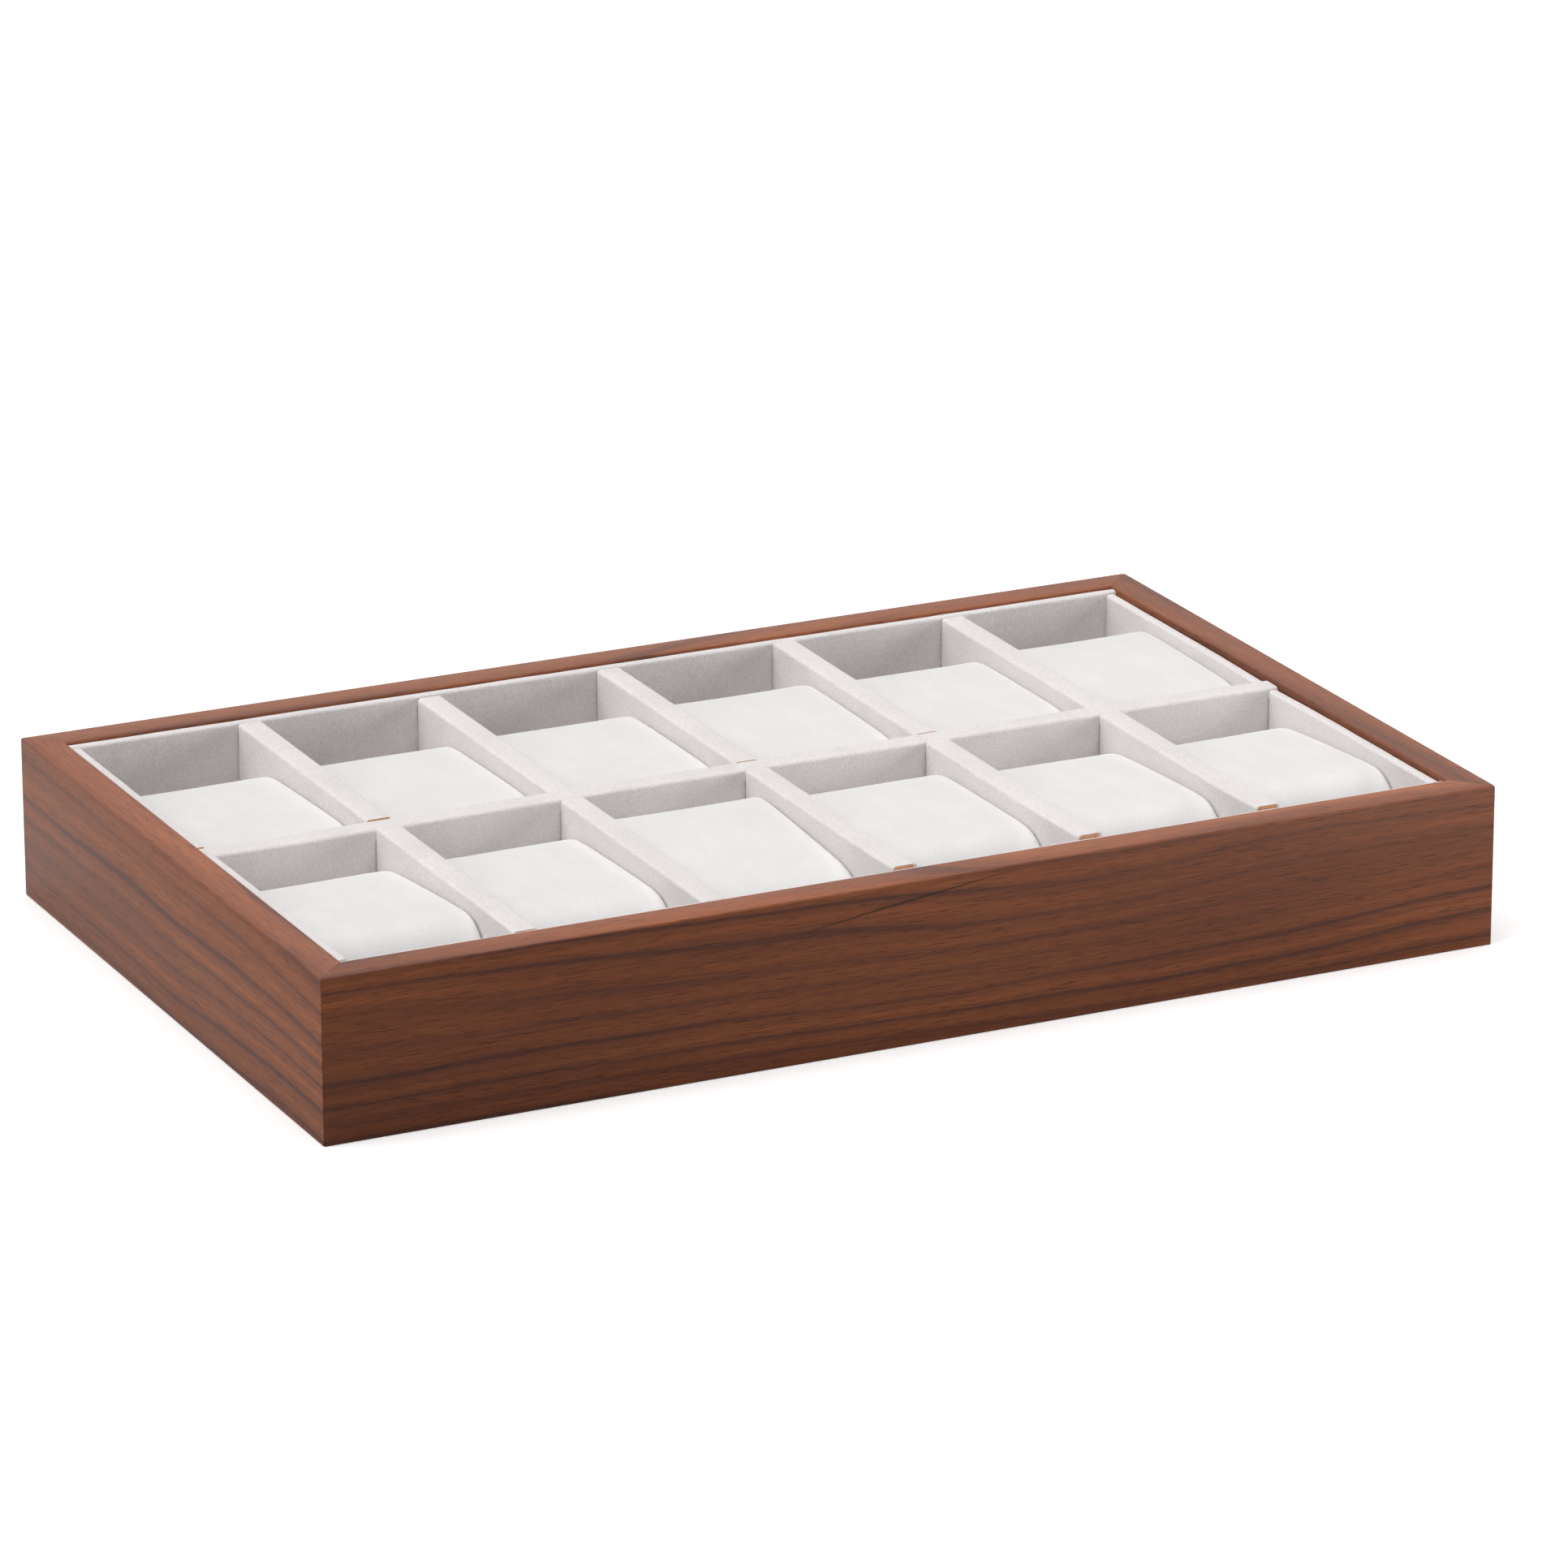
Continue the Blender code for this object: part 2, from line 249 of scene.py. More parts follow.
floor_mesh = bpy.data.meshes.new("floor")
reach = FLOOR_HALF_WIDTH
corners = [(-reach, -reach, 0), (reach, -reach, 0), (reach, reach, 0), (-reach, reach, 0)]
floor_mesh.from_pydata(corners, [], [(0, 1, 2, 3)])
floor = bpy.data.objects.new("floor", floor_mesh)
floor.location.z = cad_low.z
scene.collection.objects.link(floor)
paper, tree, shader, place = new_finish("white_paper")
shade = blend_colours(tree, seen_directly(tree), grey(FLOOR_BOUNCE), grey(FLOOR_SEEN))
tree.links.new(shade, shader.inputs["Base Color"])
camera_ray = tree.nodes.new("ShaderNodeLightPath").outputs["Is Camera Ray"]
glow = calculate(tree, "MULTIPLY", camera_ray, FLOOR_GLOW)
tree.links.new(glow, shader.inputs["Emission Strength"])
shader.inputs["Emission Color"].default_value = (1, 1, 1, 1)
shader.inputs["Roughness"].default_value = 1.0
shader.inputs["Specular IOR Level"].default_value = 0.0
floor_mesh.materials.append(paper)
print("sky", SKY_STRENGTH, "floor bounce", FLOOR_BOUNCE)

# %% [markdown]
# ## Walnut
#
# The sides are reddish walnut under a satin finish. Straight-cut walnut shows the year rings as
# long dark lines, 4 to 9 mm apart, that wander slowly along the board, with fine fibre streaks
# and short dark pores between them. A photograph of wood would repeat and would not run round
# the edges. Here each point's distance across the board, bent by slow noise, is counted in rings,
# and the fraction of a ring picks the colour, so the grain runs through the solid like real wood
# and turns at each mitre because each board has its own lengthwise direction. The front board also
# has one dark mineral streak that climbs across the grain towards the rim.

# %% Walnut rings
RING_WIDTH = 0.0070
RING_BENDS = (
    ((4.5, 14, 14), 0.020, 1.0),
    ((13, 34, 34), 0.0042, 1.0),
    ((45, 120, 120), 0.0008, 2.0),
)
RING_UNEVEN = 1.6
LATE, MID, EARLY = (0.138, 0.046, 0.028), (0.268, 0.084, 0.036), (0.365, 0.113, 0.043)
RING_STEPS = ((0.0, LATE), (0.02, LATE), (0.10, MID), (0.40, EARLY), (0.78, MID), (0.98, LATE))
FAINT_PER_RING = 2.7
FAINT_LINE = (0.90, 0.89, 0.90)
FAINT_STEPS = ((0.0, FAINT_LINE), (0.25, grey(1.0)), (0.8, grey(1.02)), (1.0, FAINT_LINE))


def count_rings(tree, here, slant, rise):
    """A point's distance across the board, counted in rings and bent by slow noise."""
    axes = add_node(tree, "ShaderNodeSeparateXYZ", {"Vector": here}).outputs
    across = calculate(tree, "MULTIPLY_ADD", axes["Y"], slant, axes["Z"])
    across = calculate(tree, "MULTIPLY_ADD", axes["X"], rise, across)
    for scale, amount, detail in RING_BENDS:
        bend = noise(tree, stretched(tree, here, scale), detail=detail)
        across = calculate(tree, "MULTIPLY_ADD", bend, amount, across)
    rings = calculate(tree, "DIVIDE", across, RING_WIDTH)
    uneven = noise(tree, stretched(tree, here, (1.5, 60, 60)), detail=0.0)
    return calculate(tree, "MULTIPLY_ADD", uneven, RING_UNEVEN, rings)


def ring_tone(tree, here, rings):
    """Dark ring lines, strong in some places and weak in others, with faint ones between them."""
    tone = colour_steps(tree, calculate(tree, "FRACT", rings), RING_STEPS)
    strength = noise(tree, stretched(tree, here, (5, 75, 75), (3.1, 0, 0)), detail=1.0)
    strength = calculate(tree, "MULTIPLY_ADD", strength, 2.6, -0.55, clamp=True)
    tone = blend_colours(tree, strength, MID, tone)
    faint = calculate(tree, "FRACT", calculate(tree, "MULTIPLY", rings, FAINT_PER_RING))
    return times(tree, tone, colour_steps(tree, faint, FAINT_STEPS))


print("ring width", RING_WIDTH * 1000, "mm")

# %% Mineral streak
STREAK_MIDDLE = (-0.008, 0.0180)
STREAK_SLOPE = 0.133
STREAK_HALF_LENGTH = 0.052
STREAK_HALF_WIDTH = 0.00062
STREAK_WANDER = 0.0022
STREAK_EDGE = 2.2
STREAK_TONE = 0.36


def streaked(tree, tone, place):
    """Draw the mineral streak over a tone: dark, widest at its middle, running out at both ends."""
    axes = add_node(tree, "ShaderNodeSeparateXYZ", {"Vector": place}).outputs
    along = calculate(tree, "SUBTRACT", axes["X"], STREAK_MIDDLE[0])
    off = calculate(tree, "MULTIPLY_ADD", along, -STREAK_SLOPE, axes["Z"])
    wander = noise(tree, stretched(tree, place, (55, 20, 20)), detail=2.0)
    off = calculate(tree, "MULTIPLY_ADD", wander, STREAK_WANDER, off)
    off = calculate(tree, "SUBTRACT", off, STREAK_MIDDLE[1] + STREAK_WANDER / 2)
    off = calculate(tree, "ABSOLUTE", off)
    length = calculate(tree, "ABSOLUTE", along)
    width = calculate(tree, "MULTIPLY_ADD", length, -1 / STREAK_HALF_LENGTH, 1.0)
    mask = calculate(tree, "MULTIPLY_ADD", off, -1 / STREAK_HALF_WIDTH, width)
    mask = calculate(tree, "MULTIPLY", mask, STREAK_EDGE, clamp=True)
    return blend_colours(tree, mask, tone, times(tree, tone, grey(STREAK_TONE)))


print("streak length", STREAK_HALF_LENGTH * 2000, "mm")

# %% Walnut recipe
FIBRE_STEPS = ((0.30, grey(0.82)), (0.70, grey(1.17)))
DASH_STEPS = ((0.36, grey(0.93)), (0.64, grey(1.07)))
PATCH_STEPS = ((0.30, (0.87, 0.86, 0.88)), (0.70, (1.11, 1.12, 1.10)))
DARKEST_PORE = 0.55


def make_walnut(name, shift, slant, rise, tone_and_shade, streak):
    """Walnut whose grain runs along local X. shift picks another stretch of the tree, slant and
    rise say how the rings lie across and along the board. The last argument says how light the
    board's colour is: partly its own tone, partly painted shade for boards that get less light."""
    finish, tree, shader, place = new_finish(name)
    here = stretched(tree, place, (1, 1, 1), shift)
    tone = ring_tone(tree, here, count_rings(tree, here, slant, rise))
    fibre = noise(tree, stretched(tree, here, (24, 2200, 2200)), detail=3.0, roughness=0.6)
    tone = times(tree, tone, colour_steps(tree, fibre, FIBRE_STEPS, smooth=False))
    dashes = noise(tree, stretched(tree, here, (230, 1900, 1900)), detail=2.0)
    tone = times(tree, tone, colour_steps(tree, dashes, DASH_STEPS, smooth=False))
    pores = noise(tree, stretched(tree, here, (150, 3600, 3600), (0, 0, 5)), detail=1.0)
    pores = calculate(tree, "MULTIPLY_ADD", pores, -9.0, 6.4, clamp=True)
    pores = calculate(tree, "MAXIMUM", pores, DARKEST_PORE)
    pore_tone = add_node(tree, "ShaderNodeCombineXYZ", {0: pores, 1: pores, 2: pores})
    tone = times(tree, tone, pore_tone.outputs[0])
    patches = noise(tree, stretched(tree, here, (7, 40, 40), (0, 1.7, 0)), detail=2.0)
    tone = times(tree, tone, colour_steps(tree, patches, PATCH_STEPS))
    # Darken the whole board: its own tone, with painted shade in it.
    tone = times(tree, tone, grey(tone_and_shade))
    if streak:
        tone = streaked(tree, tone, place)
    tree.links.new(tone, shader.inputs["Base Color"])
    gloss = calculate(tree, "MULTIPLY_ADD", fibre, 0.22, 0.34)
    tree.links.new(gloss, shader.inputs["Roughness"])
    shader.inputs["Specular IOR Level"].default_value = 0.24
    height = calculate(tree, "MULTIPLY", fibre, 0.5)
    height = calculate(tree, "MULTIPLY_ADD", pores, 0.6, height)
    bump = {"Height": height, "Strength": 0.35, "Distance": 0.00012}
    tree.links.new(add_node(tree, "ShaderNodeBump", bump).outputs[0], shader.inputs["Normal"])
    return finish


print("darkest pore", DARKEST_PORE)

# %% [markdown]
# ## The mitred frame
#
# The sides are four boards whose ends are cut at 45 degrees, so no end grain shows and the grain
# turns the corner. It is tempting to make one board and turn copies of it, but the corners of a
# real tray are sanded after it is glued, so their rounding crosses the joint. So the frame is
# made as one ring first: a block, minus the well, minus the step underneath that takes the bottom
# board. Its edges are rounded by different amounts through bevel weights. Then two diagonal
# cuts at a time take each board out of the ring.

# %% Shaping helpers
import bmesh


def block(name, low, high):
    """A plain block between two corners, kept as a starting shape or as a cutter."""
    low, high = Vector(low), Vector(high)
    size = high - low
    bm = bmesh.new()
    placed = Matrix.Translation((low + high) / 2) @ Matrix.Diagonal((*size, 1.0))
    bmesh.ops.create_cube(bm, size=1.0, matrix=placed)
    mesh = bpy.data.meshes.new(name)
    bm.to_mesh(mesh)
    bm.free()
    thing = bpy.data.objects.new(name, mesh)
    scene.collection.objects.link(thing)
    return thing


def apply_modifiers(thing):
    bpy.context.view_layer.update()
    graph = bpy.context.evaluated_depsgraph_get()
    mesh = bpy.data.meshes.new_from_object(thing.evaluated_get(graph))
    thing.modifiers.clear()
    thing.data = mesh
    return thing


def cut_away(thing, tool):
    """Subtract the tool from the thing. The cut faces take the tool's material."""
    boolean = thing.modifiers.new("cut", "BOOLEAN")
    boolean.operation = "DIFFERENCE"
    boolean.solver = "EXACT"
    boolean.material_mode = "TRANSFER"
    boolean.object = tool
    apply_modifiers(thing)
    bpy.data.objects.remove(tool)
    return thing


def smooth_faces(thing, angle):
    thing.data.shade_smooth()
    thing.data.set_sharp_from_angle(angle=math.radians(angle))


def count_faces(*things):
    return sum(len(thing.data.polygons) for thing in things)


print("shaping helpers ready")

# %% Frame ring
RIM_RADIUS = 0.0007
CORNER_RADIUS = 0.0005
FOOT_RADIUS = 0.0004
RING_SEGMENTS = 5

front_low, front_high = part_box("side_front")
left_low, left_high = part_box("side_left")
panel_low, panel_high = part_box("bottom_panel")
wall = front_high.y - front_low.y
height = cad_high.z - cad_low.z
fit = 0.0003
well_low = Vector((cad_low.x + wall, cad_low.y + wall))
well_high = Vector((cad_high.x - wall, cad_high.y - wall))

HAIR = 1e-5

ring = block("frame_ring", cad_low, cad_high)
cut_away(ring, block("well", (*well_low, -height), (*well_high, 2 * height)))
cut_away(ring, block("step", (panel_low.x - fit, panel_low.y - fit, -height),
                     (panel_high.x + fit, panel_high.y + fit, panel_high.z + fit)))
weights = ring.data.attributes.new("bevel_weight_edge", "FLOAT", "EDGE")
for edge in ring.data.edges:
    ends = [ring.data.vertices[i].co for i in edge.vertices]
    middle = (ends[0] + ends[1]) / 2
    upright = abs(ends[0].z - ends[1].z) > height / 2
    outside = abs(middle.x) > panel_high.x + fit or abs(middle.y) > panel_high.y + fit
    if not upright and middle.z > cad_high.z - HAIR:
        weights.data[edge.index].value = 1.0
    elif upright and outside:
        weights.data[edge.index].value = CORNER_RADIUS / RIM_RADIUS
    elif not upright and outside:
        weights.data[edge.index].value = FOOT_RADIUS / RIM_RADIUS
bevel = ring.modifiers.new("rounded", "BEVEL")
bevel.limit_method = "WEIGHT"
bevel.width = RIM_RADIUS
bevel.segments = RING_SEGMENTS
apply_modifiers(ring)
print("ring faces:", count_faces(ring))

# %% Four mitred boards
MITRE_GAP = 0.00006
# The last number darkens each board's colour: partly the wood's own tone, partly painted shade,
# since the light falls off from the left board towards the right one.
GRAIN = {
    "side_front": ((0, -1), (0.31, 0.0, 0.0075), 0.35, 0.010, 0.93),
    "side_back": ((0, 1), (1.27, 0.2, 0.011), -0.30, 0.0, 0.84),
    "side_left": ((-1, 0), (2.43, 0.5, 0.002), 0.42, -0.015, 1.0),
    "side_right": ((1, 0), (3.71, 0.9, 0.007), -0.38, 0.0, 0.72),
}


def keep_behind(bm, point, normal):
    """Slice off what lies in front of a plane and close the cut."""
    parts = bm.verts[:] + bm.edges[:] + bm.faces[:]
    sliced = bmesh.ops.bisect_plane(bm, geom=parts, dist=1e-7, plane_co=point, plane_no=normal,
                                    clear_outer=True)
    loop = [part for part in sliced["geom_cut"] if isinstance(part, bmesh.types.BMEdge)]
    bmesh.ops.edgeloop_fill(bm, edges=loop)


def mitred_board(name, facing, shift, slant, rise, tone_and_shade):
    bm = bmesh.new()
    bm.from_mesh(ring.data)
    facing = Vector((*facing, 0))
    for sign in (1, -1):
        across = Vector((-facing.y, facing.x, 0)) * sign
        corner = Vector(((facing + across).x * cad_high.x, (facing + across).y * cad_high.y, 0))
        outward = (across - facing).normalized()
        keep_behind(bm, corner - outward * MITRE_GAP / 2, outward)
    bmesh.ops.recalc_face_normals(bm, faces=bm.faces)
    turn = Matrix.Rotation(0 if facing.x == 0 else math.pi / 2, 4, "Z")
    middle = Vector((facing.x * (cad_high.x - wall / 2), facing.y * (cad_high.y - wall / 2),
                     height / 2))
    stance = Matrix.Translation(middle) @ turn
    bmesh.ops.transform(bm, matrix=stance.inverted(), verts=bm.verts)
    mesh = bpy.data.meshes.new(name)
    bm.to_mesh(mesh)
    bm.free()
    board = bpy.data.objects.new("walnut_" + name, mesh)
    board.matrix_world = stance
    scene.collection.objects.link(board)
    smooth_faces(board, 35)
    mesh.materials.clear()
    streak = name == "side_front"
    mesh.materials.append(make_walnut("walnut_" + name, shift, slant, rise, tone_and_shade, streak))
    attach(board, "root")
    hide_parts(name)
    return board


boards = [mitred_board(name, *look) for name, look in GRAIN.items()]
bpy.data.objects.remove(ring)
print("board faces:", count_faces(*boards))

# %% [markdown]
# ## Bare fibreboard
#
# The bottom board and the cores of the dividers are brown fibreboard. Pressed fibre has no grain:
# it is an even tan with small darker and lighter specks, quite matt.

# %% Fibreboard recipe
def make_fibreboard(name, dark, light):
    finish, tree, shader, place = new_finish(name)
    flecks = noise(tree, place, scale=900, detail=3.0, roughness=0.7)
    clouds = noise(tree, place, scale=35, detail=2.0)
    fleck_tone = colour_steps(tree, flecks, [(0.32, dark), (0.66, light)])
    cloud_tone = colour_steps(tree, clouds, [(0.35, grey(0.90)), (0.65, grey(1.08))])
    tree.links.new(times(tree, fleck_tone, cloud_tone), shader.inputs["Base Color"])
    shader.inputs["Roughness"].default_value = 0.85
    shader.inputs["Specular IOR Level"].default_value = 0.2
    bump = add_node(tree, "ShaderNodeBump", {"Height": flecks, "Strength": 0.4, "Distance": 0.0002})
    tree.links.new(bump.outputs[0], shader.inputs["Normal"])
    return finish


fibreboard = make_fibreboard("brown_fibreboard", (0.21, 0.105, 0.050), (0.42, 0.235, 0.120))
bare_core = make_fibreboard("bare_core", (0.62, 0.30, 0.17), (0.86, 0.50, 0.32))
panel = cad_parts["bottom_panel"]
panel.data.materials.clear()
panel.data.materials.append(fibreboard)
print("bottom board size in mm:", [round(side * 1000, 1) for side in panel_high - panel_low])

# %% [markdown]
# ## Velvet
#
# Short velvet is thousands of upright hairs. Seen from above it is matt and even, seen at a
# slant the hair tips catch light, which the shader's sheen gives. Hairs lie in slightly different
# ways, so the cloth has a fine speckle and larger soft patches. The boards' velvet is a warm
# off-white, and the pillows' is cooler and a little lighter.

# %% Velvet recipe
def make_velvet(name, colour, speckle, patch, nap, sheen):
    """speckle and patch say how much the fine grain and the soft patches change the colour."""
    finish, tree, shader, place = new_finish(name)
    hairs = noise(tree, place, scale=2600, detail=2.0, roughness=0.65)
    grains = noise(tree, place, scale=1350, detail=2.0, roughness=0.6)
    strokes = noise(tree, stretched(tree, place, (60, 38, 60)), detail=3.0, roughness=0.55)
    fine = calculate(tree, "ADD", hairs, grains)
    fine_steps = ((0.30, grey(1.0 - speckle)), (0.70, grey(1.0 + speckle)))
    patch_steps = ((0.35, grey(1.0 - patch)), (0.65, grey(1.0 + patch * 0.6)))
    fine_tone = colour_steps(tree, calculate(tree, "MULTIPLY", fine, 0.5), fine_steps, smooth=False)
    stroke_tone = colour_steps(tree, strokes, patch_steps)
    tone = times(tree, times(tree, colour, fine_tone), stroke_tone)
    tree.links.new(tone, shader.inputs["Base Color"])
    shader.inputs["Roughness"].default_value = 1.0
    shader.inputs["Specular IOR Level"].default_value = 0.05
    shader.inputs["Sheen Weight"].default_value = sheen
    shader.inputs["Sheen Roughness"].default_value = 0.45
    shader.inputs["Sheen Tint"].default_value = (1, 1, 1, 1)
    bump = add_node(tree, "ShaderNodeBump", {"Height": fine, "Strength": nap, "Distance": 0.00035})
    tree.links.new(bump.outputs[0], shader.inputs["Normal"])
    return finish


board_velvet = make_velvet("board_velvet", (0.842, 0.800, 0.790), 0.13, 0.030, 0.5, 0.12)
pillow_velvet = make_velvet("pillow_velvet", (0.842, 0.828, 0.818), 0.045, 0.025, 0.25, 0.15)
print("velvets:", board_velvet.name, pillow_velvet.name)

# %% [markdown]
# ## Velvet-covered boards
#
# Liners and dividers are thin boards with velvet drawn over their tops. Cloth over an edge never
# lies dead straight: it bulges and dips by a tenth of a millimetre or two. A block with a bevel
# would be too perfect, so each board is built from cross-sections that follow one another every
# few millimetres, and each section is pushed a little by smooth noise. Every section can also be
# lifted, because the dividers don't all stand level. At the ends the bare core shows, framed by
# the thickness of the velvet.

# %% Covered board
from mathutils import noise as smooth_noise

STRETCH = 0.004
TOP_STEPS = 5
SKIN = 0.00065
TOP_SKIN = 0.00012
CORE_LIFT = 0.0003
LINER_RADIUS = 0.0010
DIVIDER_RADIUS = 0.0011
UNEVEN = 0.00011


def half_outline(half, tall, radius):
    """One side and its rounded shoulder, as points across and up, from the bottom up."""
    steps = round((tall - radius) / STRETCH)
    points = [(half, (tall - radius) * i / steps) for i in range(steps + 1)]
    for i in range(1, TOP_STEPS + 1):
        turn = math.pi / 2 * i / TOP_STEPS
        points.append((half - radius * (1 - math.cos(turn)), tall - radius * (1 - math.sin(turn))))
    return points


def between(table, place):
    """Read a value from a table of (place, value) in mm, in a straight line between its rows."""
    place *= 1000
    if place <= table[0][0]:
        return table[0][1] / 1000
    for (start, first), (stop, second) in zip(table, table[1:]):
        if place <= stop:
            return (first + (second - first) * (place - start) / (stop - start)) / 1000
    return table[-1][1] / 1000


def covered_board(name, low, high, radius, along_x, seed, lifts, shift=0.0, bare_ends=True):
    """A velvet-covered board between two corners. lifts raises its top, shift moves it sideways."""
    half = (high.y - low.y if along_x else high.x - low.x) / 2
    middle = (high.y + low.y if along_x else high.x + low.x) / 2 + shift
    start, stop = (low.x, high.x) if along_x else (low.y, high.y)
    tall = high.z - low.z
    right_side = half_outline(half, tall, radius)
    outline = [(-across, up) for across, up in right_side] + [(0, tall)] + right_side[::-1]
    stations = round((stop - start) / STRETCH)
    bm = bmesh.new()

    def section(along, points, noisy):
        ring = []
        for across, up in points:
            side = max(-1.0, min(1.0, across / half))
            above = max(0.0, (up - tall + radius) / radius)
            outward = Vector((side * (1 - above * above), above)).normalized()
            spot = Vector((along * 60 + seed * 3.7, across * 90 + seed * 1.3, up * 70 + seed * 2.1))
            push = smooth_noise.noise(spot) + 0.5 * smooth_noise.noise(spot * 2.7)
            push *= UNEVEN * noisy * min(1.0, up / 0.01)
            height = low.z + up + between(lifts, along) * up / tall + outward.y * push
            sideways = middle + across + outward.x * push
            point = (along, sideways, height) if along_x else (sideways, along, height)
            ring.append(bm.verts.new(point))
        return ring

    places = [start + (stop - start) * i / stations for i in range(stations + 1)]
    rings = [section(place, outline, 1.0) for place in places]
    for first, second in zip(rings, rings[1:]):
        for i in range(len(outline)):
            bm.faces.new((first[i - 1], first[i], second[i], second[i - 1]))
    core = [(across * (half - SKIN) / half, CORE_LIFT + up * (tall - TOP_SKIN - CORE_LIFT) / tall)
            for across, up in outline]
    for along, ring in ((start, rings[0]), (stop, rings[-1])):
        inner = section(along, core, 0.0)
        for i in range(len(outline)):
            bm.faces.new((ring[i - 1], inner[i - 1], inner[i], ring[i]))
        bm.faces.new(inner).material_index = int(bare_ends)
    bmesh.ops.recalc_face_normals(bm, faces=bm.faces)
    mesh = bpy.data.meshes.new(name)
    bm.to_mesh(mesh)
    bm.free()
    board = bpy.data.objects.new(name, mesh)
    scene.collection.objects.link(board)
    mesh.materials.append(board_velvet)
    mesh.materials.append(bare_core)
    return board


def core_block(name, low, high):
    tool = block(name, low, high)
    tool.data.materials.append(bare_core)
    return tool


def finish_board(board, node):
    smooth_faces(board, 40)
    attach(board, "root")
    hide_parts(node)
    return board


print("sections every", STRETCH * 1000, "mm")

# %% [markdown]
# ## Joints over the centre divider
#
# The long centre divider drops into slots that are cut into the other boards from above. A plain
# square slot would leave a dark groove on both sides of its rounded top. On the real tray the
# velvet closes up to it, and only the cut edge behind it, which faces the viewer, shows as a
# hair-thin brown line. So the cutter has the divider's own rounded outline, and a lip says how
# much of the cut edge stays bare at the back. A few millimetres down the slot is a little wider,
# where the two boards leave a dark crevice between them.

# %% Slots for the centre divider
JOINT = 0.00005
CREVICE = 0.0003
CREVICE_DEPTH = 0.003
FRONT_LIP = 0.00006
OPEN_ABOVE = 0.01
CENTRE_LIFTS = ((-168, -0.55), (-145, -0.75), (-128, -0.45), (-100, -0.4), (-75, -0.15),
                (-48, -0.05), (60, 0.0), (75, 0.1), (150, 0.1), (168, -0.25))

centre_low, centre_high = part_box("centre_divider")


def slot_cutter(name, left, right, bottom, back_lip):
    """The room for the centre divider between left and right, open at the top."""
    half = (centre_high.y - centre_low.y) / 2 + JOINT
    top = centre_high.z + between(CENTRE_LIFTS, (left + right) / 2) + JOINT
    radius = DIVIDER_RADIUS
    outline = []
    for way, lip in ((-1, FRONT_LIP), (1, back_lip)):
        reach = math.degrees(math.acos(max(0.0, 1 - lip / radius)))
        wide = way * (half + CREVICE)
        neck = top - CREVICE_DEPTH
        side = [(wide, bottom), (wide, neck - CREVICE), (way * half, neck)]
        for i in range(TOP_STEPS + 1):
            turn = math.radians((90 - reach) * i / TOP_STEPS)
            out = half - radius * (1 - math.cos(turn))
            side.append((way * out, top - radius * (1 - math.sin(turn))))
        side.append((side[-1][0], top + OPEN_ABOVE))
        outline += side if way < 0 else side[::-1]
    bm = bmesh.new()
    ends = [[bm.verts.new((x, y, z)) for y, z in outline] for x in (left, right)]
    for i in range(len(outline)):
        bm.faces.new((ends[0][i - 1], ends[0][i], ends[1][i], ends[1][i - 1]))
    bm.faces.new(ends[0])
    bm.faces.new(ends[1])
    bmesh.ops.recalc_face_normals(bm, faces=bm.faces)
    mesh = bpy.data.meshes.new(name)
    bm.to_mesh(mesh)
    bm.free()
    mesh.materials.append(bare_core)
    tool = bpy.data.objects.new(name, mesh)
    scene.collection.objects.link(tool)
    return tool


print("joint", JOINT * 1000, "mm")

# %% Liners
LEVEL = ((0, 0),)
LINER_LIFTS = {
    "front": LEVEL,
    "back": LEVEL,
    "left": ((-30, 0), (-8, -0.25), (8, -0.15), (30, 0)),
    "right": ((-40, 0), (-6, -0.4), (6, -0.35), (30, 0)),
}

CORNER_GAP = 0.00025
NOTCH_LIP = 0.00018
NOTCH_REACH = 0.001

liners = []
for seed, (side, lifts) in enumerate(LINER_LIFTS.items(), 1):
    low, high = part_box("liner_" + side)
    along_x = side in ("front", "back")
    if along_x:
        low.x, high.x = low.x - CORNER_GAP, high.x + CORNER_GAP
    else:
        low.y, high.y = low.y - CORNER_GAP, high.y + CORNER_GAP
    liner = covered_board("velvet_liner_" + side, low, high, LINER_RADIUS, along_x, seed, lifts,
                          bare_ends=False)
    if not along_x:
        bottom = (low.z + centre_high.z) / 2
        cut_away(liner, slot_cutter("notch", low.x - NOTCH_REACH, high.x + NOTCH_REACH,
                                    bottom, NOTCH_LIP))
    liners.append(finish_board(liner, "liner_" + side))
print("liner faces:", count_faces(*liners))

# %% Dividers
HALVING_GAP = 0.0001
SLOT_GAP = 0.0002
SLOT_REACH = 0.002
DIVIDER_STANCE = (
    (0.2, 0.10, ((-98, -0.35), (-90, -0.1), (-60, 0.0), (98, 0.1))),
    (-0.45, 0.03, ((-98, -0.5), (-60, -0.4), (98, -0.45))),
    (0.0, 0.15, ((-98, 0.55), (-88, 0.2), (-70, 0.0), (98, 0.0))),
    (0.35, 0.22, ((-98, 0.8), (-86, 0.4), (-70, 0.1), (-20, 0.0), (40, 0.1), (98, 0.35))),
    (-0.4, 0.10, ((-98, 0.75), (-88, 0.25), (-74, -0.1), (98, -0.1))),
)

centre = covered_board("velvet_centre_divider", centre_low, centre_high, DIVIDER_RADIUS, True, 11,
                       CENTRE_LIFTS)
halving = (centre_low.z + centre_high.z) / 2
liner_left_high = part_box("liner_left")[1]
liner_right_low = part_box("liner_right")[0]


def cut_under(name, left, right):
    """Cut away the lower half of the centre divider between left and right."""
    cut_away(centre, core_block(name, (left, -wall, -wall), (right, wall, halving - HALVING_GAP)))


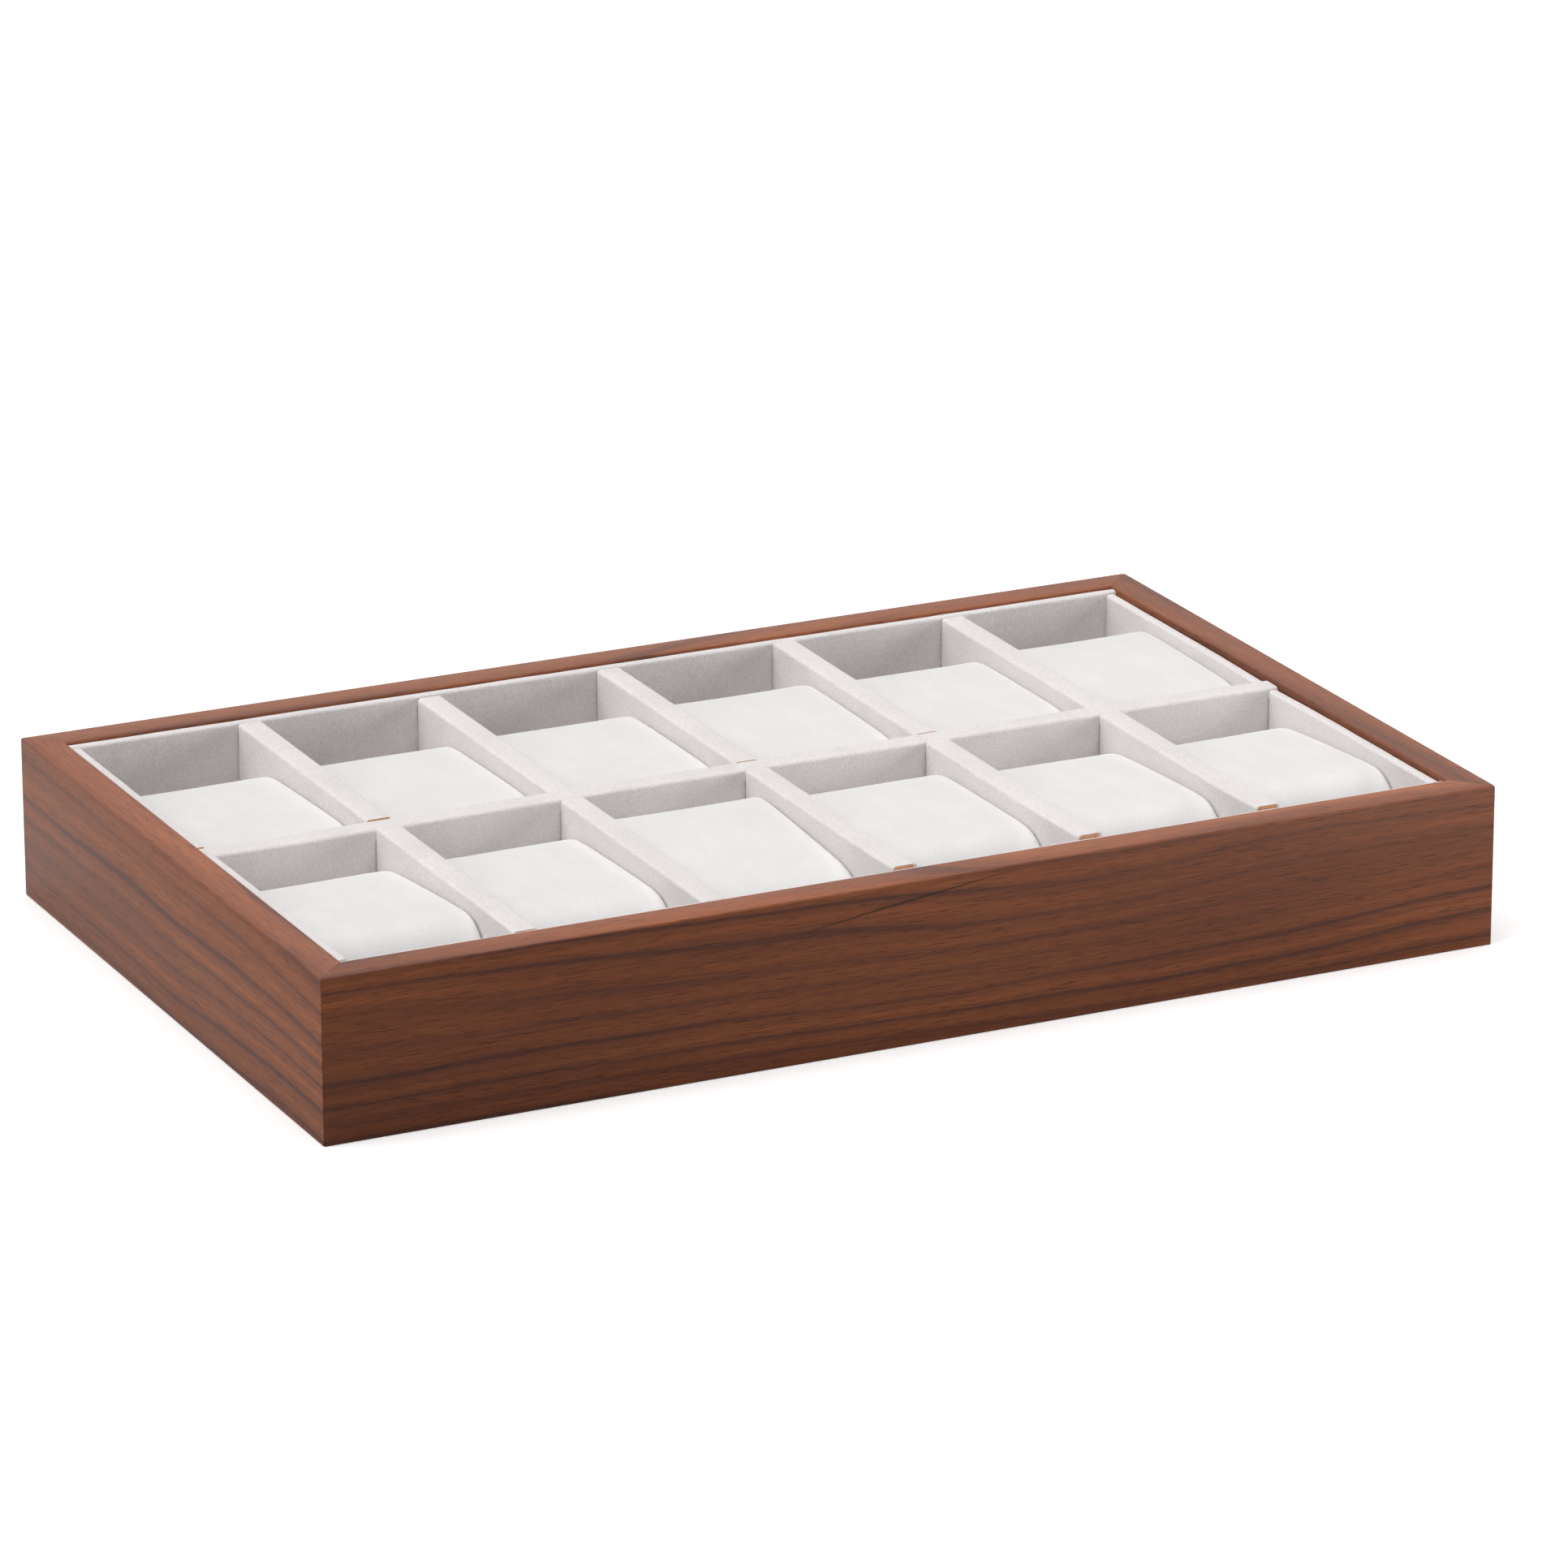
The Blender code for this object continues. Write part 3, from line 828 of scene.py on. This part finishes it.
cut_under("shoulder", centre_low.x - wall, liner_left_high.x)
cut_under("shoulder", liner_right_low.x, centre_high.x + wall)
cross = []
for number, (shift, lip, lifts) in enumerate(DIVIDER_STANCE, 1):
    node = f"cross_divider_{number}"
    low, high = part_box(node)
    shift /= 1000
    divider = covered_board("velvet_" + node, low, high, DIVIDER_RADIUS, False, 20 + number,
                            lifts, shift)
    cut_away(divider, slot_cutter("slot", low.x - SLOT_REACH, high.x + SLOT_REACH,
                                  halving, lip / 1000))
    cut_under("slot", low.x + shift - SLOT_GAP, high.x + shift + SLOT_GAP)
    cross.append(finish_board(divider, node))
finish_board(centre, "centre_divider")
print("divider faces:", count_faces(centre, *cross))

# %% [markdown]
# ## The floor card
#
# Under the pillows lies a card covered in the same velvet. Little of it shows, so it is the
# frame's own solid with the velvet on it.

# %% Floor card
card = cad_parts["floor_lining"]
card.data.materials.clear()
card.data.materials.append(board_velvet)
card_low, card_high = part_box("floor_lining")
print("card thickness in mm:", round((card_high.z - card_low.z) * 1000, 2))

# %% [markdown]
# ## Watch pillows
#
# A watch pillow is a velvet sleeve stuffed with foam: flat on top, rolled at both ends, with tight
# edges round its two caps. A modelled block with round edges would look like soap, so the cloth is
# simulated: the pillow starts a little too small and is blown up by pressure, with its travel
# capped. Remeshing it with voxels first is the usual way, but voxels don't line up with the tight
# edges of the caps and leave them ragged, so the sleeve is woven from rings that follow its shape.
# A blown-up cushion alone is too round, because the foam inside keeps its shape. So each point is
# then drawn most of the way back to its place on the foam, at the caps nearly all the way, because
# the cloth is tight there. Last the pillow is tilted to the heights of its two shoulders.

# %% Sleeve
ROLL = 0.016
ROLL_POWER = 2.2
CAP_RADIUS = 0.0023
ROLL_STEPS = 14
FLAT_STEPS = 12
BODY_STEPS = 11
CAP_STEPS = 3
CAP_RINGS = (0.2, 0.45, 0.7, 0.88)


def side_curve(half):
    """The pillow from the side: each point's start on the flat part, and its way out and up."""
    flat = half.y - ROLL
    rim = []
    for i in range(ROLL_STEPS + 1):
        turn = math.pi * (i / ROLL_STEPS - 0.5)
        out = abs(math.cos(turn)) ** (2 / ROLL_POWER)
        up = math.copysign(abs(math.sin(turn)) ** (2 / ROLL_POWER), turn)
        rim.append((-flat, -out, up))
    rim += [(2 * flat * i / FLAT_STEPS - flat, 0, 1) for i in range(1, FLAT_STEPS)]
    return rim + [(-start, -out, -up) for start, out, up in rim]


def ring_stations(half):
    """Where each ring stands across the pillow, and how large it is: small on the two caps."""
    inner = 1 - CAP_RADIUS / half.z
    cap = [(half.x, inner * share) for share in CAP_RINGS]
    for i in range(CAP_STEPS + 1):
        turn = math.pi / 2 * i / CAP_STEPS
        cap.append((half.x - CAP_RADIUS * (1 - math.cos(turn)),
                    inner + (1 - inner) * math.sin(turn)))
    body = half.x - CAP_RADIUS
    middle = [(body * (2 * i / BODY_STEPS - 1), 1.0) for i in range(1, BODY_STEPS)]
    return [(-across, size) for across, size in cap] + middle + cap[::-1]


def sleeve(name, half):
    """A closed sleeve of rings, tight at the caps, round the middle of a pillow."""
    rim = side_curve(half)
    count = len(rim)
    bm = bmesh.new()
    rings = []
    for across, size in ring_stations(half):
        rings.append([bm.verts.new((across, start + ROLL * size * out, half.z * size * up))
                      for start, out, up in rim])
    for first, second in zip(rings, rings[1:]):
        for i in range(count):
            bm.faces.new((first[i - 1], first[i], second[i], second[i - 1]))
    for ring in (rings[0], rings[-1]):
        for i in range(ROLL_STEPS // 2, ROLL_STEPS // 2 + count // 2):
            below = ROLL_STEPS - i
            corners = [ring[i], ring[i + 1], ring[(below - 1) % count], ring[below % count]]
            bm.faces.new(list(dict.fromkeys(corners)))
    bmesh.ops.recalc_face_normals(bm, faces=bm.faces)
    mesh = bpy.data.meshes.new(name)
    bm.to_mesh(mesh)
    bm.free()
    pillow = bpy.data.objects.new(name, mesh)
    scene.collection.objects.link(pillow)
    return pillow


print("points in a ring:", 2 * (ROLL_STEPS + FLAT_STEPS), "cap edge in mm:", CAP_RADIUS * 1000)

# %% Pillow simulation
PRESSURE = 4.0
SIMULATED_FRAMES = 20
START_SCALE = 0.96
MOST_TRAVEL = 0.0016
FOAM_SHARE = 0.86
CAP_SHARE = 0.985


def inflate(pillow):
    """Blow the pillow up as cloth, and cap how far each point has travelled."""
    start = [vert.co.copy() for vert in pillow.data.vertices]
    cloth = pillow.modifiers.new("cloth", "CLOTH")
    cloth.settings.use_pressure = True
    cloth.settings.uniform_pressure_force = PRESSURE
    cloth.settings.effector_weights.gravity = 0.0
    cloth.settings.quality = 5
    for number in range(1, SIMULATED_FRAMES + 1):
        scene.frame_set(number)
    apply_modifiers(pillow)
    scene.frame_set(1)
    for vert, origin in zip(pillow.data.vertices, start):
        travel = vert.co - origin
        if travel.length > MOST_TRAVEL:
            vert.co = origin + travel.normalized() * MOST_TRAVEL


print("pressure", PRESSURE)

# %% Twelve pillows
PUFF = 0.0003
ARCH = 0.00025
SIDE_ROOM = 0.00008
SHOULDER = 0.020
PUFFS_PER_METRE = 28
CROWNS = {
    "front": ((40.0, 43.6), (40.2, 41.2), (43.3, 40.4), (41.9, 42.4), (40.3, 42.4), (39.9, 42.9)),
    "back": ((40.5, 42.0), (41.1, 41.8), (41.8, 42.0), (43.0, 42.4), (42.2, 42.4), (43.7, 43.0)),
}


def compartment_sides(number):
    """Where the boards left and right of a column of compartments stand, shifts included."""
    sides = [liner_left_high.x]
    for cross_number, (shift, lip, lifts) in enumerate(DIVIDER_STANCE, 1):
        low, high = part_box(f"cross_divider_{cross_number}")
        sides += [low.x + shift / 1000, high.x + shift / 1000]
    sides.append(liner_right_low.x)
    return sides[2 * number - 2], sides[2 * number - 1]


def settle(pillow, half, back, front, seed):
    """Tilt the pillow to the heights of its two shoulders, and make it softly uneven."""
    for vert in pillow.data.vertices:
        spot = vert.co * PUFFS_PER_METRE + Vector((seed * 5.1, seed * 2.3, seed))
        inside = 1 - (vert.co.x / half.x) ** 4
        vert.co += vert.normal * smooth_noise.noise(spot) * PUFF * inside
        vert.co.x = min(max(vert.co.x, -half.x), half.x)
        vert.co.y = min(max(vert.co.y, -half.y), half.y)
        share = min(max(0.5 + vert.co.y / (2 * SHOULDER), -0.2), 1.2)
        arch = ARCH * max(0.0, 1 - (vert.co.y / (half.y - ROLL)) ** 2)
        top = front + (back - front) * share + arch
        vert.co.z = max((vert.co.z / half.z + 1) / 2 * top, 0.0) - half.z


def make_pillow(row, number, crown):
    """crown gives the heights in mm of the pillow's back and front shoulder above the ground."""
    node = f"pillow_{row}_{number}"
    low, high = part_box(node)
    left, right = compartment_sides(number)
    low.x, high.x = left + SIDE_ROOM, right - SIDE_ROOM
    middle, half = (low + high) / 2, (high - low) / 2
    pillow = sleeve("velvet_" + node, half)
    foam = [vert.co.copy() for vert in pillow.data.vertices]
    pillow.data.transform(Matrix.Scale(START_SCALE, 4))
    pillow.location = middle
    inflate(pillow)
    for vert, place in zip(pillow.data.vertices, foam):
        share = FOAM_SHARE + (CAP_SHARE - FOAM_SHARE) * (place.x / half.x) ** 4
        vert.co = vert.co.lerp(place, share)
    smoothing = pillow.modifiers.new("finer", "SUBSURF")
    smoothing.levels = 1
    smoothing.render_levels = 1
    apply_modifiers(pillow)
    back, front = (top / 1000 - low.z for top in crown)
    settle(pillow, half, back, front, number + (0 if row == "front" else 10))
    pillow.data.shade_smooth()
    pillow.data.materials.clear()
    pillow.data.materials.append(pillow_velvet)
    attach(pillow, "root")
    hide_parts(node)
    return pillow


pillows = [make_pillow(row, number, crown) for row in CROWNS
           for number, crown in enumerate(CROWNS[row], 1)]
print("pillow faces:", count_faces(*pillows))
